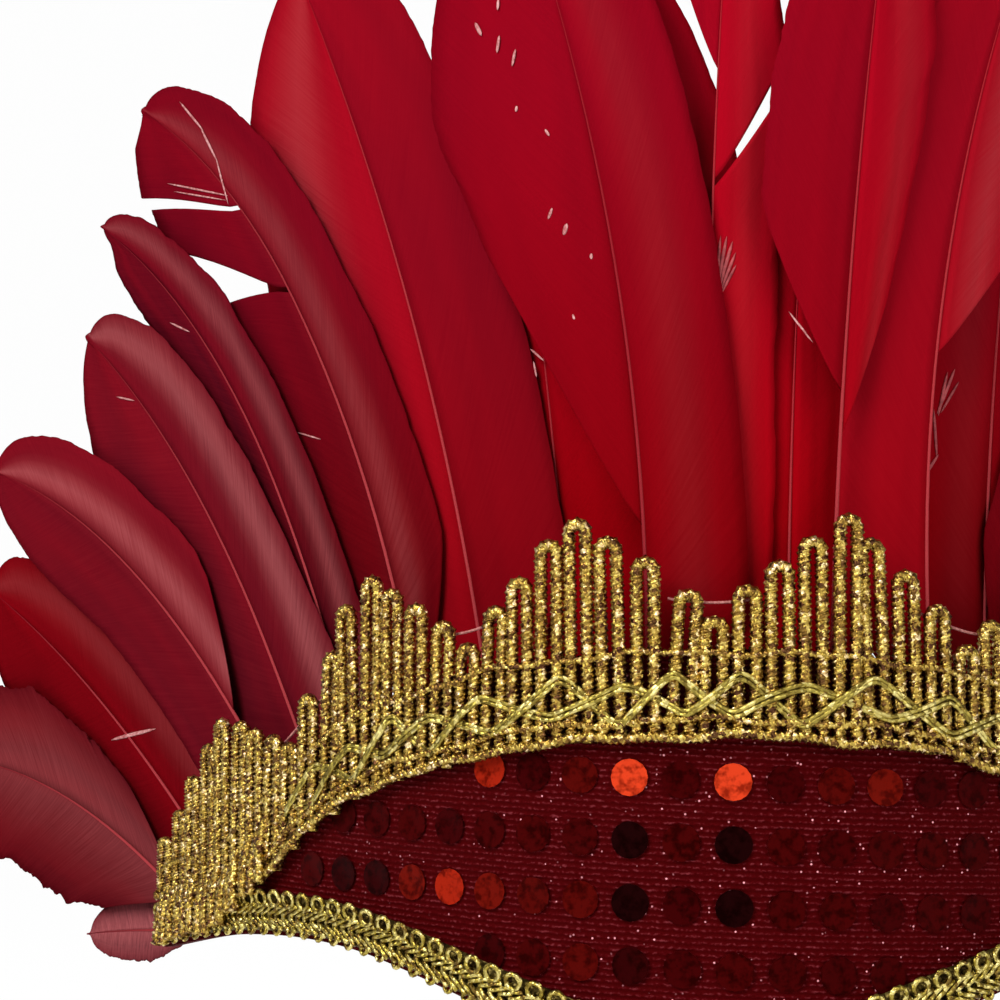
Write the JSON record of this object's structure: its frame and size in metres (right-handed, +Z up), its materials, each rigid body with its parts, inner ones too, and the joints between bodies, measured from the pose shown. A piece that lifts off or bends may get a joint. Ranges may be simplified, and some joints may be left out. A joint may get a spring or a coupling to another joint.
{
  "type": "feather headdress",
  "caption": "Costume feather headdress: curved sequined brow panel with a V point, scalloped gold braid, a fan of red goose feathers behind it and an elastic band round the back.",
  "frame": {"origin": "middle of the head opening, at half the height of the panel's ends and of the elastic", "axes": "+X towards the right of the picture, -Y the way the brow faces, +Z up along the feathers"},
  "size_m": [0.3581, 0.1665, 0.2136],
  "materials": {
    "sequin_knit": "sequined knit",
    "gold_braid": "metallic thread",
    "feather_red": "dyed, satin",
    "elastic": "ribbed, matt"
  },
  "bodies": {
    "root": {"panel": "sequin_knit", "crown_braid": "gold_braid", "edge_braid": "gold_braid", "back_elastic": "elastic", "feather_01": "feather_red", "feather_02": "feather_red", "feather_03": "feather_red", "feather_04": "feather_red", "feather_05": "feather_red", "feather_06": "feather_red", "feather_07": "feather_red", "feather_08": "feather_red", "feather_09": "feather_red", "feather_10": "feather_red", "feather_11": "feather_red", "feather_12": "feather_red", "feather_13": "feather_red", "feather_14": "feather_red", "feather_15": "feather_red", "feather_16": "feather_red", "feather_17": "feather_red", "feather_18": "feather_red", "feather_19": "feather_red", "feather_20": "feather_red", "feather_21": "feather_red", "feather_22": "feather_red", "feather_23": "feather_red", "feather_24": "feather_red", "feather_25": "feather_red"}
  },
  "joints": []
}
